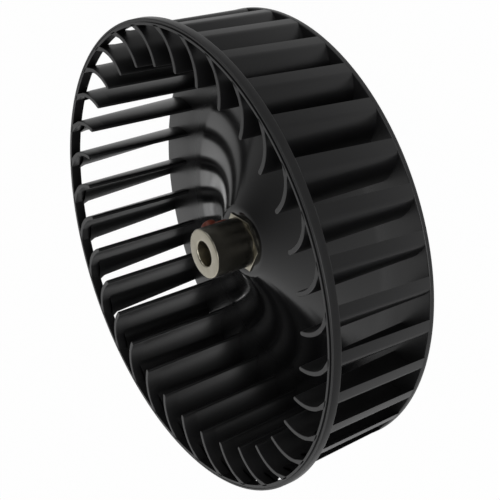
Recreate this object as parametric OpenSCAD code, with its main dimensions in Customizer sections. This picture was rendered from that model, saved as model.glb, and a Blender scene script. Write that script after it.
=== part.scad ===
// Inducer blower wheel: forward-curved blade cage moulded in one piece round a steel hub, inlet upwards.

/* [Cage] */
// outside diameter over the front ring, mm
outside_d = 146; // [130:1:170]
// width along the axis, mm
wheel_w = 38.5; // [36:0.5:46]
// number of blades
blade_count = 33; // [24:1:36]
// thickness of one blade, mm
blade_t = 1.35; // [1:0.05:1.8]
// radius of the blade curve on its middle line, mm
blade_curve_r = 13.74; // [13:0.1:15]
// depth of the blades from the ring's outside to their inner tips, mm
blade_depth = 14; // [12:0.5:16]
// angle from a blade's inner tip to the leading edge of its thick outer end, at the plate, degrees
foot_turn = 7.3; // [6.8:0.1:7.8]
// how much further round that edge lies at the ring, degrees
foot_lean = 1.6; // [1:0.1:2.4]
// how much the inner tips come in towards the back plate, mm
tip_taper = 1.8; // [0:0.1:2.5]

/* [Front ring] */
// width of the front ring along the axis, mm
ring_w = 3.3; // [2:0.1:6]
// radial thickness of the front ring, mm
ring_t = 1.9; // [1.5:0.1:3]
// radial width of the groove between the ring's lip and its rim, mm
ring_groove_w = 0.5; // [0.3:0.1:0.7]
// depth of that groove, mm
ring_groove_d = 0.5; // [0.3:0.1:1]
// step of the rim behind the lip, mm
ring_rim_step = 0.3; // [0.1:0.1:0.8]

/* [Back plate and cone] */
// radius of the back plate, mm less than the ring's
plate_inset = 3.7; // [3:0.1:5]
// thickness of the back plate, mm
plate_t = 1.6; // [1.2:0.1:2.5]
// radius at which the cone starts, mm
cone_start_r = 49.1; // [44:0.5:52]
// wall thickness of the cone, mm
cone_t = 1.8; // [1.4:0.1:2.4]
// height of the boss face above the back, mm
boss_h = 17.6; // [14:0.1:19]
// radius of the boss face, mm
boss_r = 12; // [11:0.1:14]

/* [Steel hub] */
// diameter of the turned barrel, mm
barrel_d = 15.875; // [14:0.1:16]
// width of the hexagon across its flats, a little over the barrel, mm
hex_flats = 16.5; // [16:0.1:18]
// depth of the barrel's face below the inlet plane, mm
barrel_below = 7.15; // [5:0.1:9]
// height of the hexagon's shoulder above the back, mm
hex_top = 18; // [15:0.1:20]
// length of the hub, mm
hub_l = 22.2; // [18:0.1:25]
// diameter of the shaft bore, mm
bore_d = 7.94; // [6:0.1:9.6]

/* [Set screw] */
// diameter of the set screw, mm
screw_d = 4.83; // [4:0.1:6]
// height of the screw's axis above the hexagon's shoulder, mm
screw_above = 6.4; // [5:0.1:8]
// how far the screw stands out of the barrel, mm
screw_out = 1.6; // [1:0.1:3]
// across-flats size of the screw's socket, mm
socket_flats = 2.38; // [2:0.1:3]
// thickness of the locking compound on the screw and the barrel, mm
compound_t = 0.2; // [0.1:0.05:0.4]

/* [Hidden] */
$fn = 96;
ring_r = outside_d / 2;
ring_in_r = ring_r - ring_t;
// the lip takes this share of the ring's thickness, on the inside of its front face
lip_share = 0.4;
lip_w = ring_t * lip_share;
ring_back_z = wheel_w - ring_w;
plate_r = ring_r - plate_inset;
// the blades run a little into the plate
blade_embed = 0.8;
// the blades' thick ends run a little into the ring
ring_embed = 0.3;
// the blades' outer ends lean out from the plate's edge and run into the ring with a short slope
end_step = 0.1;
end_inset = 2.3;
end_slope = 1.5;
end_back_r = plate_r - end_step;
end_front_r = ring_r - end_inset;
end_ring_r = ring_in_r + lip_w / 2;
// the foot leaves the strip this far inside the outer end, and its leading edge starts at the knee
foot_depth = 1.6;
knee_inset = 0.27;
tip_r = ring_r - blade_depth;
// the centre of each blade curve lies almost on the circle of the tips
curve_offset = 0.32;
curve_centre_r = tip_r + curve_offset;
blade_bend = acos(
    (pow(tip_r, 2) + pow(curve_centre_r, 2) - pow(blade_curve_r, 2)) / (2 * tip_r * curve_centre_r)
);
pitch = 360 / blade_count;
// the first blade's tip stands this far round from the set screw
first_tip = 5.05;
edge = 0.3;
// cutting shapes reach this far past what they cut
past = 1;
// the cone's front face is a hollow arc that ends just below the boss face
boss_drop = 0.6;
cone_top_z = boss_h - boss_drop;
cone_chord = norm([cone_start_r - boss_r, cone_top_z - plate_t]);
cone_half = 12;
cone_arc_r = cone_chord / 2 / sin(cone_half);
cone_tilt = atan2(cone_top_z - plate_t, cone_start_r - boss_r);
cone_mid = [(cone_start_r + boss_r) / 2, (cone_top_z + plate_t) / 2];
cone_centre = cone_mid + cone_arc_r * cos(cone_half) * [sin(cone_tilt), cos(cone_tilt)];
// a rounding that follows the cone's slope leads over to the boss face
boss_slope = cone_tilt + cone_half;
boss_round = boss_drop / (1 - cos(boss_slope));
boss_face_r = boss_r - boss_round * sin(boss_slope);
round_steps = 4;
// the hub
barrel_r = barrel_d / 2;
bore_r = bore_d / 2;
hub_top = wheel_w - barrel_below;
hub_back = hub_top - hub_l;
hex_r = hex_flats / 2 / cos(30);
keeper_w = 3;
keeper_in = 0.8;
back_lip_t = 1.2;
back_lip_gap = 1.5;
sleeve_back = hub_back - back_lip_t;
screw_z = hex_top + screw_above;
screw_end = barrel_r + screw_out;
screw_r = screw_d / 2;
// the screw stops just short of the bore
screw_back = bore_r + edge;
screw_edge = 0.5;
socket_floor = 0.2;
socket_depth = screw_out - socket_floor;
// the compound is round at its outer end and has a run down the barrel
blob_r = screw_r + compound_t;
blob_end = screw_end + compound_t;
blob_round = screw_edge + compound_t;
run_w = 2.4;
run_l = 5;
run_t = 2 * compound_t;
run_turn = -24;

// ring turned from a profile of points [radius, height]
module turned(points) {
    rotate_extrude() polygon(points);
}

// front ring: a lip flush with the blades, a thin groove and a rim set a little lower
module front_ring() {
    groove_in = ring_in_r + lip_w;
    groove_out = groove_in + ring_groove_w;
    rim_z = wheel_w - ring_rim_step;
    turned([
        [ring_in_r, ring_back_z], [ring_r - edge, ring_back_z], [ring_r, ring_back_z + edge],
        [ring_r, rim_z - edge], [ring_r - edge, rim_z], [groove_out, rim_z],
        [groove_out, wheel_w - ring_groove_d], [groove_in, wheel_w - ring_groove_d],
        [groove_in, wheel_w], [ring_in_r, wheel_w]
    ]);
}

function polar(r, a) = r * [cos(a), sin(a)];

// angle round the axis, from the tip, at which a circle about the curve's centre reaches radius r
function turn_at(r, curve_r) =
    blade_bend - acos((pow(r, 2) + pow(curve_centre_r, 2) - pow(curve_r, 2)) / (2 * r * curve_centre_r));

// one blade strip of full height, curved towards the direction of rotation
module blade_strip() {
    reach = 2 * blade_curve_r;
    rotate(blade_bend) translate([curve_centre_r, 0, plate_t - blade_embed])
        linear_extrude(wheel_w - plate_t + blade_embed) intersection() {
            difference() {
                circle(r = blade_curve_r + blade_t / 2);
                circle(r = blade_curve_r - blade_t / 2);
            }
            // the part of the ring between the inner tip and the outer end
            translate([-blade_curve_r / 2, -reach]) square(reach);
        }
}

// angle of the leading edge of the outer end at radius r
function foot_at(r) = foot_turn + foot_lean * (r - end_back_r) / (end_front_r - end_back_r);

// thick outer end of a blade behind the ring: a foot on the hollow side that starts inside the strip
module blade_foot() {
    knee_r = end_back_r - knee_inset;
    over_r = end_ring_r + blade_embed;
    start_r = end_back_r - foot_depth;
    foot_bottom_z = plate_t - blade_embed;
    foot_top_z = ring_back_z + ring_embed;
    translate([0, 0, foot_bottom_z]) linear_extrude(foot_top_z - foot_bottom_z) polygon([
        polar(start_r, turn_at(start_r, blade_curve_r - blade_t / 4)), polar(knee_r, foot_at(knee_r)),
        polar(over_r, foot_at(over_r)),
        polar(over_r, turn_at(over_r, blade_curve_r)), polar(end_back_r, turn_at(end_back_r, blade_curve_r)),
        polar(start_r, turn_at(start_r, blade_curve_r))
    ]);
}

// room that the blades fill: straight outer ends behind the ring, inner tips that come in towards the plate
module blade_room() {
    turned([
        [tip_r - tip_taper, 0], [end_back_r, 0], [end_back_r, plate_t],
        [end_front_r, ring_back_z - end_slope], [end_ring_r, ring_back_z + ring_embed],
        [end_ring_r, wheel_w], [tip_r, wheel_w], [tip_r - tip_taper, plate_t]
    ]);
}

module blades() {
    intersection() {
        for (i = [0 : blade_count - 1]) rotate(first_tip + i * pitch) {
            blade_strip();
            blade_foot();
        }
        blade_room();
    }
}

// point of the boss's rounded edge where it slopes at angle a
function boss_edge(a) = [boss_face_r + boss_round * sin(a), boss_h - boss_round * (1 - cos(a))];

// back plate, cone and boss in one wall, hollow behind
module back_wall() {
    rotate_extrude() difference() {
        polygon([
            [0, 0], [plate_r, 0], [plate_r, plate_t - edge], [plate_r - edge, plate_t],
            [cone_start_r, plate_t], [boss_r, cone_top_z],
            for (i = [round_steps - 1 : -1 : 0]) boss_edge(boss_slope * i / round_steps), [0, boss_h]
        ]);
        // the cone's front face
        intersection() {
            translate(cone_centre) circle(r = cone_arc_r, $fn = 240);
            translate([boss_r, 0]) square([cone_start_r - boss_r, wheel_w]);
        }
        // the hollow behind the cone follows the same arc, one wall further in
        difference() {
            polygon([
                [boss_r, -past], [cone_start_r - cone_t, -past], [cone_start_r - cone_t, plate_t],
                [boss_r, cone_top_z]
            ]);
            translate(cone_centre) circle(r = cone_arc_r + cone_t, $fn = 240);
        }
        // the sleeve round the hub stops above the plane of the back plate
        translate([0, -past]) square([boss_r, sleeve_back + past]);
    }
}

// outer shape of the hub: round barrel in front, hexagon behind with a turned groove that the plastic fills
module hub_body() {
    translate([0, 0, hub_back]) rotate(30) difference() {
        cylinder(h = hex_top - hub_back, r = hex_r, $fn = 6);
        translate([0, 0, (hex_top - hub_back - keeper_w) / 2]) difference() {
            cylinder(h = keeper_w, r = hex_r + past);
            cylinder(h = keeper_w, r = barrel_r - keeper_in);
        }
    }
    turned([
        [0, hex_top - past], [barrel_r - edge, hex_top - past], [barrel_r - edge, hex_top],
        [barrel_r, hex_top], [barrel_r, hub_top - edge], [barrel_r - edge, hub_top], [0, hub_top]
    ]);
}

// the set screw's axis, outwards along X
module along_screw() {
    translate([0, 0, screw_z]) rotate([0, 90, 0]) children();
}

module wheel() {
    color("#1b1b1c") difference() {
        union() {
            front_ring();
            blades();
            back_wall();
        }
        hub_body();
        // the lip behind the hub leaves room for the motor shaft
        translate([0, 0, sleeve_back - past]) cylinder(h = back_lip_t + 2 * past, r = bore_r + back_lip_gap);
    }
}

module hub() {
    color("#8f8a80") difference() {
        hub_body();
        translate([0, 0, hub_back - past]) cylinder(h = hub_l + 2 * past, r = bore_r);
        translate([0, 0, hub_top - edge]) cylinder(h = 2 * edge, r1 = bore_r, r2 = bore_r + 2 * edge);
        along_screw() cylinder(h = barrel_d, d = screw_d);
    }
}

// the screw's solid, bevelled at both ends, with a hexagon socket in the outer one
module screw_body() {
    difference() {
        turned([
            [0, screw_back], [screw_r - edge, screw_back], [screw_r, screw_back + edge],
            [screw_r, screw_end - screw_edge], [screw_r - screw_edge, screw_end], [0, screw_end]
        ]);
        translate([0, 0, screw_end - socket_depth]) rotate(30)
            cylinder(h = socket_depth + past, r = socket_flats / 2 / cos(30), $fn = 6);
    }
}

module set_screw() {
    color("#55524c") along_screw() screw_body();
}

// point of the compound's rounded outer edge at angle a
function blob_edge(a) = [blob_r - blob_round * (1 - cos(a)), blob_end - blob_round * (1 - sin(a))];

// compound over the screw's outer end and in its socket, with a thin run down the barrel
module lock_patch() {
    run_z = screw_z - run_l;
    color("#8a4a3a") difference() {
        union() {
            along_screw() turned([
                [0, 0], [blob_r, 0],
                for (i = [0 : round_steps]) blob_edge(90 * i / round_steps),
                [0, blob_end]
            ]);
            intersection() {
                translate([0, 0, run_z]) cylinder(h = run_l, r = barrel_r + run_t);
                rotate(run_turn) translate([0, -run_w / 2, run_z]) cube([barrel_d, 2 * run_w, run_l]);
            }
        }
        translate([0, 0, hex_top - past]) cylinder(h = hub_top - hex_top + 2 * past, r = barrel_r);
        along_screw() screw_body();
    }
}

wheel();
hub();
set_screw();
lock_patch();
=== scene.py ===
import math

import bmesh
import bpy
from mathutils import Matrix, Vector


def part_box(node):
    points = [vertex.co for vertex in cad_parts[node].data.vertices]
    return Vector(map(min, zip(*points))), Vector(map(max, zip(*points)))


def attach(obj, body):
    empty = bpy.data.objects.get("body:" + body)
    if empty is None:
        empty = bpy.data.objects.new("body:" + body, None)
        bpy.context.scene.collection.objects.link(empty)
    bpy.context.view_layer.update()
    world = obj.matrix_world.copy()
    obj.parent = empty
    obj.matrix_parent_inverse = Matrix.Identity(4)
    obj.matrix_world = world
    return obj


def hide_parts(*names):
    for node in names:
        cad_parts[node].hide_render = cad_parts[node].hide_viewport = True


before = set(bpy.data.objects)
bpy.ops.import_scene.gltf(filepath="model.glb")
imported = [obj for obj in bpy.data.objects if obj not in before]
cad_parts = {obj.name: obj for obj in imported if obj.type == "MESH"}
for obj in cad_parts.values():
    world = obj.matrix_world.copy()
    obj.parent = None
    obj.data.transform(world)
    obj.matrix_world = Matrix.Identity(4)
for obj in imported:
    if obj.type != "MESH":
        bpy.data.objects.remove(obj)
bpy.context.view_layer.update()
scene = bpy.context.scene
scene.view_settings.view_transform = "Standard"


# Camera. A short telephoto view into the inlet from 30 degrees above the back plate's plane, rolled so that the
# axis lies almost level in the picture, as a wheel photographed on its rim.
MM = 0.001
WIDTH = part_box("wheel")[1][2]
sensor = 36.0
focal_px = 1332.2
picture_px = 500
view_azimuth = math.radians(-118.9)
view_elevation = math.radians(29.8)
view_roll = math.radians(-108.23)
view_distance = 400.5 * MM
view_right = 19.95 * MM
view_up = 3.2 * MM

camera_data = bpy.data.cameras.new("camera")
camera_data.sensor_width = sensor
camera_data.lens = focal_px / picture_px * sensor
camera = bpy.data.objects.new("camera", camera_data)
scene.collection.objects.link(camera)
turned_to = (
    Matrix.Rotation(view_azimuth + math.pi / 2, 4, "Z")
    @ Matrix.Rotation(math.pi / 2 - view_elevation, 4, "X")
    @ Matrix.Rotation(view_roll, 4, "Z")
)
inlet_centre = Vector((0, 0, WIDTH))
camera.matrix_world = Matrix.Translation(
    inlet_centre + turned_to @ Vector((view_right, view_up, view_distance))
) @ turned_to
scene.camera = camera


# Studio. A white table, surroundings that fade from a light backdrop to a dark room, and a row of three large soft
# discs of light low in front, which draw the thin lights on the blades' edges. The camera sees table and surroundings
# as white. What the gloss mirrors is darker towards the room, and on the table it is a painted pool of light that
# glows round a spot under the wheel and fades away from it: it is fitted to the photograph.
def linear(hex_colour):
    """Turns a colour from sRGB hex, as it is read off a picture, to the linear values of the shaders."""
    parts = [int(hex_colour[i:i + 2], 16) / 255 for i in (1, 3, 5)]
    return tuple(c / 12.92 if c <= 0.04045 else ((c + 0.055) / 1.055) ** 2.4 for c in parts) + (1,)


def add_node(tree, kind, settings=None, links=None):
    """Adds a shader node, sets its properties and inputs by name and links its inputs to other sockets."""
    node = tree.nodes.new(kind)
    for name, value in (settings or {}).items():
        if name in node.inputs:
            node.inputs[name].default_value = value
        else:
            setattr(node, name, value)
    for name, socket in (links or {}).items():
        tree.links.new(socket, node.inputs[name])
    return node


room_azimuth = math.radians(300)
room_elevation = math.radians(25)
backdrop_light = 1.08
room_light = 0.0
lamp_distance = 900 * MM
lamp_size = 650 * MM
lamp_elevation = 15
towards_room = Vector((
    math.cos(room_elevation) * math.cos(room_azimuth), math.cos(room_elevation) * math.sin(room_azimuth),
    math.sin(room_elevation)
))


def soft_disc(name, azimuth, power):
    data = bpy.data.lights.new(name, "AREA")
    data.shape = "DISK"
    data.size = lamp_size
    data.energy = power
    lamp = bpy.data.objects.new(name, data)
    scene.collection.objects.link(lamp)
    a, e = math.radians(azimuth), math.radians(lamp_elevation)
    towards = Vector((math.cos(e) * math.cos(a), math.cos(e) * math.sin(a), math.sin(e)))
    lamp.location = inlet_centre + towards * lamp_distance
    lamp.rotation_euler = towards.to_track_quat("Z", "Y").to_euler()


soft_disc("front_low", 215, 2.4)
soft_disc("front_middle", 265, 1.2)
soft_disc("front_high", 315, 1.1)

world = bpy.data.worlds.new("light_backdrop_dark_room")
world.use_nodes = True
tree = world.node_tree
tree.nodes.clear()
direction = add_node(tree, "ShaderNodeTexCoord")
facing = add_node(tree, "ShaderNodeVectorMath", {"operation": "DOT_PRODUCT"}, {0: direction.outputs["Generated"]})
facing.inputs[1].default_value = towards_room
room_level = add_node(
    tree, "ShaderNodeMapRange", {"From Min": -1.0, "From Max": 1.0, "To Min": backdrop_light, "To Max": room_light},
    {"Value": facing.outputs["Value"]}
)
sight = add_node(tree, "ShaderNodeLightPath")
shown = add_node(
    tree, "ShaderNodeMath", {"operation": "MAXIMUM"},
    {0: sight.outputs["Is Camera Ray"], 1: room_level.outputs["Result"]}
)
surroundings = add_node(
    tree, "ShaderNodeBackground", {"Color": linear("#ffffff")}, {"Strength": shown.outputs[0]}
)
add_node(tree, "ShaderNodeOutputWorld", links={"Surface": surroundings.outputs[0]})
scene.world = world

floor_size = 6000 * MM
painted_pool_centre = (30 * MM, 50 * MM, 0)
painted_pool_r = 70 * MM
painted_pool_fade_r = 160 * MM
painted_pool_edge_glow = 0.25
white_share = 0.98
floor_mesh = bpy.data.meshes.new("table")
floor_bm = bmesh.new()
bmesh.ops.create_grid(floor_bm, x_segments=1, y_segments=1, size=floor_size / 2)
floor_bm.to_mesh(floor_mesh)
floor_bm.free()
floor = bpy.data.objects.new("table", floor_mesh)
scene.collection.objects.link(floor)

# White paper, uncoated and matt. A seen ray, straight or through something, gets white with 2% of the real shading, so
# the wheel's shadow hardly shows, as in the photograph. A mirrored ray sees a painted pool of light: the paper glows
# full white round a spot under the wheel and fades to a quarter further out, though it is no lamp. Light that the
# paper sends on to the wheel comes from its matt part.
paper = bpy.data.materials.new("white_paper")
paper.use_nodes = True
tree = paper.node_tree
tree.nodes.clear()
matt = add_node(tree, "ShaderNodeBsdfDiffuse", {"Color": linear("#fafafa")})
rays = add_node(tree, "ShaderNodeLightPath")
painted_pool_place = add_node(tree, "ShaderNodeTexCoord")
from_painted_pool = add_node(tree, "ShaderNodeVectorMath", {"operation": "DISTANCE"}, {0: painted_pool_place.outputs["Object"]})
from_painted_pool.inputs[1].default_value = painted_pool_centre
# painted pool of light: how bright the paper glows in reflections, full round the spot and a quarter further out
painted_pool_glow = add_node(
    tree, "ShaderNodeMapRange", {"From Min": painted_pool_r, "From Max": painted_pool_fade_r, "To Min": 1.0, "To Max": painted_pool_edge_glow},
    {"Value": from_painted_pool.outputs["Value"]}
)
painted_pool_in_gloss = add_node(
    tree, "ShaderNodeMath", {"operation": "MULTIPLY"}, {0: rays.outputs["Is Glossy Ray"], 1: painted_pool_glow.outputs["Result"]}
)
through = add_node(
    tree, "ShaderNodeMath", {"operation": "MAXIMUM"},
    {0: rays.outputs["Is Camera Ray"], 1: rays.outputs["Is Transmission Ray"]}
)
seen = add_node(tree, "ShaderNodeMath", {"operation": "MAXIMUM"}, {0: through.outputs[0], 1: painted_pool_in_gloss.outputs[0]})
glow = add_node(tree, "ShaderNodeEmission", {"Color": linear("#ffffff")}, {"Strength": seen.outputs[0]})
looked_at = add_node(
    tree, "ShaderNodeMath", {"operation": "MAXIMUM"}, {0: through.outputs[0], 1: rays.outputs["Is Glossy Ray"]}
)
share = add_node(tree, "ShaderNodeMath", {"operation": "MULTIPLY"}, {0: looked_at.outputs[0]})
share.inputs[1].default_value = white_share
mixed = add_node(tree, "ShaderNodeMixShader", links={0: share.outputs[0], 1: matt.outputs[0], 2: glow.outputs[0]})
add_node(tree, "ShaderNodeOutputMaterial", links={"Surface": mixed.outputs[0]})
floor.data.materials.append(paper)


# Wheel moulding. One piece of black glass-filled nylon, moulded in a two-part tool: 33 forward-curved blades stand on
# the back plate and carry the front ring, and the plate rises in a hollow cone to the boss round the hub.
RING_R = 73.0 * MM
ring_back = WIDTH - 3.3 * MM
ring_in_r = RING_R - 1.9 * MM
plate_r = RING_R - 3.7 * MM
plate_t = 1.6 * MM
cone_start_r = 49.1 * MM
cone_wall = 1.8 * MM
boss_r = 12.0 * MM
boss_top = 17.6 * MM
sleeve_back = 7.95 * MM
hex_flat_r = 16.5 / 2 * MM

hair = 0.001 * MM
groove_wall = 0.76 * MM
groove_width = 0.5 * MM
groove_depth = 0.5 * MM
rim_drop = 0.3 * MM
cone_drop = 0.6 * MM
cone_half = math.radians(12)
pocket_gap = 0.5 * MM
lip_r = 5.47 * MM
lip_t = 1.2 * MM

blade_count = 33
blade_t = 1.35 * MM
blade_curve_r = 13.74 * MM
tip_r = RING_R - 14.0 * MM
tip_taper = 1.8 * MM
curve_centre_r = tip_r + 0.32 * MM
first_tip = math.radians(5.05)
end_front_r = RING_R - 2.3 * MM
end_slope = 1.5 * MM
end_ring_r = ring_in_r + 0.38 * MM
ring_embed = 0.3 * MM
plate_embed = 0.6 * MM
front_round = 0.15 * MM
front_inset = 0.12 * MM
corner_r = 0.5 * MM
end_back_r = plate_r - 0.1 * MM
foot_depth = 1.6 * MM
foot_turn = math.radians(7.3)
foot_lean = math.radians(1.6)


def turn_profile(bm, points, steps=192):
    """Turns a closed profile of (radius, height) points once round Z into a solid ring."""
    verts = [bm.verts.new((r, 0, z)) for r, z in points]
    edges = [bm.edges.new(pair) for pair in zip(verts, verts[1:] + verts[:1])]
    bmesh.ops.spin(
        bm, geom=verts + edges, cent=(0, 0, 0), axis=(0, 0, 1), angle=2 * math.pi, steps=steps, use_merge=True
    )


def soften(bm, edges, width, segments=2):
    bmesh.ops.bevel(
        bm, geom=edges, offset=width, affect="EDGES", segments=segments, profile=0.5, material=-1, clamp_overlap=True
    )


def sharp_edges(bm, degrees):
    return [e for e in bm.edges if len(e.link_faces) == 2 and e.calc_face_angle(0) > math.radians(degrees)]


def to_hexagon(bm, radius):
    """Moves the vertices of a turned piece that lie at one radius out or in to the hexagon of the steel bar."""
    for vert in bm.verts:
        if abs(vert.co.xy.length - radius) < hair:
            angle = math.atan2(vert.co.y, vert.co.x) % (math.pi / 3)
            angle = min(angle, math.pi / 3 - angle)
            vert.co.xy *= hex_flat_r / math.cos(angle) / radius


def polar(radius, angle, height=0.0):
    return Vector((radius * math.cos(angle), radius * math.sin(angle), height))


# the angle between a tip and its curve's centre, seen from the axis
blade_bend = math.acos(
    (tip_r ** 2 + curve_centre_r ** 2 - blade_curve_r ** 2) / (2 * tip_r * curve_centre_r)
)


def turn_at(radius, curve_r):
    """Angle from the tip, seen from the axis, at which a circle about the curve's centre reaches a radius."""
    return blade_bend - math.acos(
        (radius ** 2 + curve_centre_r ** 2 - curve_r ** 2) / (2 * radius * curve_centre_r)
    )


def blade_outline(height, end_r, footed, inset=0.0):
    """Outline of a blade at one height: round the tip, out along the back, round the corner, in along the hollow."""
    half = blade_t / 2 - inset
    first_r = tip_r - tip_taper * (WIDTH - height) / (WIDTH - plate_t) + inset
    root_r = end_back_r - foot_depth * 0.8
    knee_r = end_back_r - foot_depth / 6
    root_a = turn_at(root_r, blade_curve_r - half)
    tip_round = [
        (first_r + half * (1 - math.cos(a)), half * math.sin(a))
        for a in [math.radians(22.5 * i) for i in range(1, 5)]
    ]
    corner = [
        (end_r - corner_r * (1 - math.sin(a)), half - corner_r * (1 - math.cos(a)))
        for a in [math.radians(30 * i) for i in range(4)]
    ]
    bow = [tip_round[-1][0] + (root_r - tip_round[-1][0]) * i / 12 for i in range(1, 12)]

    def foot_at(radius):
        return foot_turn + foot_lean * (radius - end_back_r) / (end_front_r - end_back_r)

    def hollow_turn(radius):
        if not footed or radius <= root_r:
            return turn_at(radius, blade_curve_r - half)
        share = min((radius - root_r) / (knee_r - root_r), 1)
        return foot_at(radius) if share == 1 else root_a + share * (foot_at(knee_r) - root_a)

    back = [polar(r, turn_at(r, blade_curve_r + h), height) for r, h in tip_round]
    back += [polar(r, turn_at(r, blade_curve_r + half), height) for r in bow + [root_r, (root_r + knee_r) / 2]]
    back += [polar(r, turn_at(r, blade_curve_r + h), height) for r, h in corner]
    hollow = [polar(r, turn_at(r, blade_curve_r - h), height) for r, h in tip_round]
    hollow += [polar(r, hollow_turn(r), height) for r in bow + [root_r, (root_r + knee_r) / 2, knee_r, end_r]]
    return [polar(first_r, turn_at(first_r, blade_curve_r), height)] + back + hollow[::-1]


wheel_bm = bmesh.new()
levels = [
    (plate_t - plate_embed, end_back_r, True, 0),
    (ring_back - end_slope, end_front_r, True, 0),
    (ring_back + ring_embed, end_ring_r, True, 0),
    (ring_back + ring_embed, end_ring_r, False, 0),
    (WIDTH - front_round, end_ring_r, False, 0),
    (WIDTH, end_ring_r, False, front_inset),
]
outline = blade_outline(*levels[0])
face = wheel_bm.faces.new([wheel_bm.verts.new(point) for point in outline])
for level in levels[1:]:
    region = bmesh.ops.extrude_face_region(wheel_bm, geom=[face], use_keep_orig=level is levels[1])
    grown = next(g for g in region["geom"] if isinstance(g, bmesh.types.BMFace))
    for vert, point in zip(grown.verts, blade_outline(*level)):
        vert.co = point
    face = grown
bmesh.ops.remove_doubles(wheel_bm, verts=wheel_bm.verts, dist=hair)
bmesh.ops.recalc_face_normals(wheel_bm, faces=wheel_bm.faces)
bmesh.ops.rotate(wheel_bm, verts=wheel_bm.verts, matrix=Matrix.Rotation(first_tip, 3, "Z"))
bmesh.ops.spin(
    wheel_bm, geom=wheel_bm.verts[:] + wheel_bm.edges[:] + wheel_bm.faces[:], cent=(0, 0, 0), axis=(0, 0, 1),
    angle=2 * math.pi * (blade_count - 1) / blade_count, steps=blade_count - 1, use_duplicate=True
)

ring_bm = bmesh.new()
groove_in = ring_in_r + groove_wall
groove_out = groove_in + groove_width
groove_floor = WIDTH - groove_depth
rim_top = WIDTH - rim_drop
turn_profile(ring_bm, [
    (ring_in_r, ring_back), (RING_R, ring_back), (RING_R, rim_top), (groove_out, rim_top),
    (groove_out, groove_floor), (groove_in, groove_floor), (groove_in, WIDTH), (ring_in_r, WIDTH),
], steps=256)
bmesh.ops.recalc_face_normals(ring_bm, faces=ring_bm.faces)
outer_edges = [e for e in sharp_edges(ring_bm, 60) if min(v.co.xy.length for v in e.verts) > RING_R - 0.01 * MM]
soften(ring_bm, outer_edges, 0.3 * MM, 3)

# the wall's front is a hollow arc, and a rounding of the same slope leads over to the boss face
wall_bm = bmesh.new()
cone_foot = Vector((cone_start_r, plate_t))
cone_top = Vector((boss_r, boss_top - cone_drop))
chord = cone_top - cone_foot
arc_r = chord.length / 2 / math.sin(cone_half)
arc_centre = (cone_foot + cone_top) / 2 + Vector((chord.y, -chord.x)).normalized() * arc_r * math.cos(cone_half)
arc_first = math.atan2(*(cone_foot - arc_centre).yx)
arc_rays = [arc_first - 2 * cone_half * i / 24 for i in range(25)]
front_arc = [arc_centre + arc_r * Vector((math.cos(a), math.sin(a))) for a in arc_rays]
back_arc = [arc_centre + (arc_r + cone_wall) * Vector((math.cos(a), math.sin(a))) for a in arc_rays]
back_arc = [Vector((p.x, max(p.y, 0))) for p in back_arc if p.x > boss_r]
boss_slope = cone_half + math.atan2(chord.y, -chord.x)
boss_round = (boss_top - cone_top.y) / (1 - math.cos(boss_slope))
shoulder = [
    (boss_r - boss_round * (math.sin(boss_slope) - math.sin(a)), boss_top - boss_round * (1 - math.cos(a)))
    for a in [boss_slope * (1 - i / 8) for i in range(1, 9)]
]
pocket_r = hex_flat_r + pocket_gap
lip_front = sleeve_back + lip_t
turn_profile(wall_bm, [
    (plate_r, 0), (plate_r, plate_t), *front_arc, *shoulder, (pocket_r, boss_top), (pocket_r, lip_front),
    (lip_r, lip_front), (lip_r, sleeve_back), (boss_r, sleeve_back), (boss_r, back_arc[-1].y - 0.4 * MM),
    *reversed(back_arc),
])
to_hexagon(wall_bm, pocket_r)
bmesh.ops.recalc_face_normals(wall_bm, faces=wall_bm.faces)
plate_edges = [e for e in sharp_edges(wall_bm, 50) if max(v.co.xy.length for v in e.verts) > boss_r + 1 * MM]
soften(wall_bm, plate_edges, 0.4 * MM, 3)
pocket_edges = [e for e in sharp_edges(wall_bm, 50) if min(v.co.z for v in e.verts) > boss_top - hair]
soften(wall_bm, pocket_edges, 0.15 * MM, 2)

for part in (ring_bm, wall_bm):
    part_mesh = bpy.data.meshes.new("turned_part")
    part.to_mesh(part_mesh)
    wheel_bm.from_mesh(part_mesh)
    part.free()
    bpy.data.meshes.remove(part_mesh)
wheel_mesh = bpy.data.meshes.new("wheel_moulding")
wheel_bm.to_mesh(wheel_mesh)
wheel_bm.free()
wheel_mesh.shade_smooth()
wheel_mesh.set_sharp_from_angle(angle=math.radians(35))
wheel = bpy.data.objects.new("wheel_moulding", wheel_mesh)
scene.collection.objects.link(wheel)

# Black nylon as it leaves the tool: near black in itself, so the eye sees mostly what its skin mirrors. The cone
# mirrors sharply and the blades are duller, as the photograph shows. Slow changes in gloss follow the way the plastic
# flowed, and a fine grain of 0.4 mm, coarser than real mould grain so that it can act at all, softens the lights.
polished_r = 46 * MM
dull_r = 56 * MM
polished_roughness = 0.11
dull_roughness = 0.32
flow_change = 0.08
grain_size = 0.4 * MM
flow_size = 1000 / 60 * MM
nylon = bpy.data.materials.new("black_moulded_nylon")
nylon.use_nodes = True
tree = nylon.node_tree
tree.nodes.clear()
place = add_node(tree, "ShaderNodeTexCoord")
parts = add_node(tree, "ShaderNodeSeparateXYZ", links={"Vector": place.outputs["Object"]})
flat = add_node(tree, "ShaderNodeCombineXYZ", links={"X": parts.outputs["X"], "Y": parts.outputs["Y"]})
radius = add_node(tree, "ShaderNodeVectorMath", {"operation": "LENGTH"}, {0: flat.outputs[0]})
grain = add_node(
    tree, "ShaderNodeTexNoise", {"Scale": 1 / grain_size, "Detail": 2.0}, {"Vector": place.outputs["Object"]}
)
bump = add_node(tree, "ShaderNodeBump", {"Strength": 0.02, "Distance": 0.1 * MM}, {"Height": grain.outputs["Fac"]})
flow = add_node(
    tree, "ShaderNodeTexNoise", {"Scale": 1 / flow_size, "Detail": 4.0}, {"Vector": place.outputs["Object"]}
)
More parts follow.
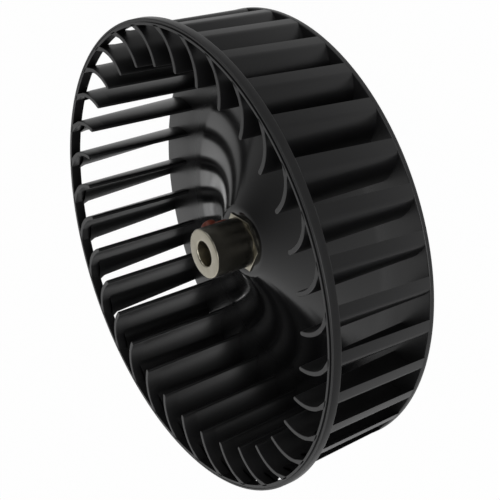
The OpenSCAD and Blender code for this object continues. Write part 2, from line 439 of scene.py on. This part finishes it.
polished = add_node(
    tree, "ShaderNodeMapRange",
    {"From Min": polished_r, "From Max": dull_r, "To Min": polished_roughness, "To Max": dull_roughness},
    {"Value": radius.outputs["Value"]}
)
gloss = add_node(
    tree, "ShaderNodeMath", {"operation": "MULTIPLY_ADD"}, {0: flow.outputs["Fac"], 2: polished.outputs[0]}
)
gloss.inputs[1].default_value = flow_change
skin = add_node(
    tree, "ShaderNodeBsdfPrincipled", {"Base Color": linear("#101011"), "IOR": 1.58},
    {"Roughness": gloss.outputs[0], "Normal": bump.outputs["Normal"]}
)
add_node(tree, "ShaderNodeOutputMaterial", links={"Surface": skin.outputs[0]})
wheel_mesh.materials.append(nylon)
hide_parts("wheel")
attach(wheel, "root")


# Hub. Turned from hexagon steel bar and moulded into the boss by its hexagon. The round barrel stands clear in front,
# with broken edges, and the motor's shaft goes through its bore.
hub_top = WIDTH - 7.15 * MM
hub_back = hub_top - 22.2 * MM
hex_top = 18 * MM
barrel_r = 15.875 / 2 * MM
bore_r = 7.94 / 2 * MM
shoulder_r = hex_flat_r + pocket_gap
face_round = 0.55 * MM
hexagon_round = 0.15 * MM

hub_bm = bmesh.new()
turn_profile(hub_bm, [
    (bore_r, hub_back), (shoulder_r, hub_back), (shoulder_r, hex_top), (barrel_r, hex_top), (barrel_r, hub_top),
    (bore_r, hub_top),
])
to_hexagon(hub_bm, shoulder_r)
bmesh.ops.recalc_face_normals(hub_bm, faces=hub_bm.faces)
face_edges = [e for e in sharp_edges(hub_bm, 50) if min(v.co.z for v in e.verts) > hub_top - hair]
soften(hub_bm, face_edges, face_round, 4)
hexagon_edges = [
    e for e in sharp_edges(hub_bm, 50)
    if abs(e.verts[0].co.z + e.verts[1].co.z - 2 * hex_top) < hair
    and max(v.co.xy.length for v in e.verts) > barrel_r + 0.1 * MM
]
soften(hub_bm, hexagon_edges, hexagon_round, 2)
hub_mesh = bpy.data.meshes.new("hub_insert")
hub_bm.to_mesh(hub_mesh)
hub_bm.free()
hub_mesh.shade_smooth()
hub_mesh.set_sharp_from_angle(angle=math.radians(35))
hub = bpy.data.objects.new("hub_insert", hub_mesh)
scene.collection.objects.link(hub)

# Plain steel, turned. The faced end and the bore are bright and slightly warm. The barrel is painted a darker olive
# grey, which is painted shade for the dark surroundings it mirrors. The turning marks have a lathe's feed of about 1/6
# mm.
# That is finer than a pixel of the picture, so they are not seen one by one and only spread the lights along the
# barrel.
bright_bore_r = 4.2 * MM
painted_shade_from_r = 4.6 * MM
mark_pitch = 1 / 6 * MM
stain_size = 1000 / 350 * MM
steel = bpy.data.materials.new("turned_steel")
steel.use_nodes = True
tree = steel.node_tree
tree.nodes.clear()
place = add_node(tree, "ShaderNodeTexCoord")
parts = add_node(tree, "ShaderNodeSeparateXYZ", links={"Vector": place.outputs["Object"]})
flat = add_node(tree, "ShaderNodeCombineXYZ", links={"X": parts.outputs["X"], "Y": parts.outputs["Y"]})
radius = add_node(tree, "ShaderNodeVectorMath", {"operation": "LENGTH"}, {0: flat.outputs[0]})
along = add_node(tree, "ShaderNodeCombineXYZ", links={"X": radius.outputs["Value"], "Z": parts.outputs["Z"]})
marks = add_node(tree, "ShaderNodeTexNoise", {"Scale": 1 / mark_pitch, "Detail": 2.0}, {"Vector": along.outputs[0]})
stains = add_node(
    tree, "ShaderNodeTexNoise", {"Scale": 1 / stain_size, "Detail": 5.0}, {"Vector": place.outputs["Object"]}
)
turned = add_node(
    tree, "ShaderNodeBump", {"Strength": 0.06, "Distance": 0.01 * MM}, {"Height": marks.outputs["Fac"]}
)
dull = add_node(tree, "ShaderNodeMapRange", {"To Min": 0.2, "To Max": 0.3}, {"Value": stains.outputs["Fac"]})
bright = add_node(tree, "ShaderNodeMix", {"data_type": "RGBA"}, {0: stains.outputs["Fac"]})
bright.inputs[6].default_value = linear("#c0bbac")
bright.inputs[7].default_value = linear("#aaa494")
# the barrel's colour, painted darker than the faced end and the bore: painted shade, mottled by random stains
barrel_painted_shade = add_node(tree, "ShaderNodeMix", {"data_type": "RGBA"}, {0: stains.outputs["Fac"]})
barrel_painted_shade.inputs[6].default_value = linear("#74716a")
barrel_painted_shade.inputs[7].default_value = linear("#625f54")
way = add_node(tree, "ShaderNodeSeparateXYZ", links={"Vector": place.outputs["Normal"]})
faced = add_node(tree, "ShaderNodeMapRange", {"From Min": 0.3, "From Max": 0.7}, {"Value": way.outputs["Z"]})
bored = add_node(
    tree, "ShaderNodeMapRange", {"From Min": bright_bore_r, "From Max": painted_shade_from_r, "To Min": 1.0, "To Max": 0.0},
    {"Value": radius.outputs["Value"]}
)
unshaded_face_and_bore = add_node(
    tree, "ShaderNodeMath", {"operation": "MAXIMUM"}, {0: faced.outputs["Result"], 1: bored.outputs["Result"]}
)
tint_with_painted_shade = add_node(
    tree, "ShaderNodeMix", {"data_type": "RGBA"}, {0: unshaded_face_and_bore.outputs[0], 6: barrel_painted_shade.outputs[2], 7: bright.outputs[2]}
)
metal = add_node(
    tree, "ShaderNodeBsdfPrincipled", {"Metallic": 1.0},
    {"Base Color": tint_with_painted_shade.outputs[2], "Roughness": dull.outputs["Result"], "Normal": turned.outputs["Normal"]}
)
add_node(tree, "ShaderNodeOutputMaterial", links={"Surface": metal.outputs[0]})
hub_mesh.materials.append(steel)
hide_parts("hub")
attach(hub, "root")


# Set screw. A socket screw of alloy steel across the barrel, screwed against the shaft. Its outer end is under the
# locking compound. It keeps the shape of its solid and gets a material of its own.
# Blackened and oiled steel is a dark half gloss to the eye, uneven where the oil lies thicker.
oil_patch = 1000 / 900 * MM
oiled = bpy.data.materials.new("oiled_screw_steel")
oiled.use_nodes = True
tree = oiled.node_tree
tree.nodes.clear()
place = add_node(tree, "ShaderNodeTexCoord")
oil = add_node(
    tree, "ShaderNodeTexNoise", {"Scale": 1 / oil_patch, "Detail": 3.0}, {"Vector": place.outputs["Object"]}
)
film = add_node(tree, "ShaderNodeMapRange", {"To Min": 0.3, "To Max": 0.5}, {"Value": oil.outputs["Fac"]})
dark_metal = add_node(
    tree, "ShaderNodeBsdfPrincipled", {"Base Color": linear("#4d4a46"), "Metallic": 1.0},
    {"Roughness": film.outputs["Result"]}
)
add_node(tree, "ShaderNodeOutputMaterial", links={"Surface": dark_metal.outputs[0]})
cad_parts["set_screw"].data.materials.clear()
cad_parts["set_screw"].data.materials.append(oiled)


# Locking compound. A dab of orange-red paint over the screw's outer end, dried to a smooth round blob, with a run
# down the barrel on the side of the hexagon.
screw_z = 24.4 * MM
blob_r = 2.62 * MM
blob_end = 10.0 * MM
blob_round = 1.3 * MM
blob_start = 6.5 * MM
run_turn = math.radians(-24)
run_half = (0.5 * MM, 1.3 * MM, 2.6 * MM)
run_sunk = 0.12 * MM
run_behind = 2.3 * MM

patch_bm = bmesh.new()
turn_profile(patch_bm, [
    (0, blob_start), (blob_r, blob_start),
    *[(blob_r - blob_round * (1 - math.cos(a)), blob_end - blob_round * (1 - math.sin(a)))
      for a in [math.radians(15 * i) for i in range(7)]],
    (0, blob_end),
], 64)
bmesh.ops.remove_doubles(patch_bm, verts=patch_bm.verts, dist=hair)
bmesh.ops.rotate(patch_bm, verts=patch_bm.verts, matrix=Matrix.Rotation(math.pi / 2, 3, "Y"))
bmesh.ops.translate(patch_bm, verts=patch_bm.verts, vec=(0, 0, screw_z))
bmesh.ops.create_uvsphere(
    patch_bm, u_segments=48, v_segments=24, radius=1,
    matrix=Matrix.Rotation(run_turn, 4, "Z") @ Matrix.Translation((barrel_r - run_sunk, 0, screw_z - run_behind))
    @ Matrix.Diagonal((*run_half, 1))
)
bmesh.ops.recalc_face_normals(patch_bm, faces=patch_bm.faces)
patch_mesh = bpy.data.meshes.new("compound_blob")
patch_bm.to_mesh(patch_mesh)
patch_bm.free()
patch_mesh.shade_smooth()
patch = bpy.data.objects.new("compound_blob", patch_mesh)
scene.collection.objects.link(patch)

# Thread-locking paint, dried: an orange-red skin with a soft gloss and shallow lumps, uneven in colour.
lump_size = 1000 / 450 * MM
compound = bpy.data.materials.new("locking_compound")
compound.use_nodes = True
tree = compound.node_tree
tree.nodes.clear()
place = add_node(tree, "ShaderNodeTexCoord")
lumps = add_node(
    tree, "ShaderNodeTexNoise", {"Scale": 1 / lump_size, "Detail": 2.0}, {"Vector": place.outputs["Object"]}
)
skin_bump = add_node(
    tree, "ShaderNodeBump", {"Strength": 0.3, "Distance": 0.2 * MM}, {"Height": lumps.outputs["Fac"]}
)
shade = add_node(tree, "ShaderNodeMix", {"data_type": "RGBA"}, {0: lumps.outputs["Fac"]})
shade.inputs[6].default_value = linear("#9a4f3c")
shade.inputs[7].default_value = linear("#743426")
paint = add_node(
    tree, "ShaderNodeBsdfPrincipled", {"Roughness": 0.38},
    {"Base Color": shade.outputs[2], "Normal": skin_bump.outputs["Normal"]}
)
add_node(tree, "ShaderNodeOutputMaterial", links={"Surface": paint.outputs[0]})
patch_mesh.materials.append(compound)
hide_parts("lock_patch")
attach(patch, "root")
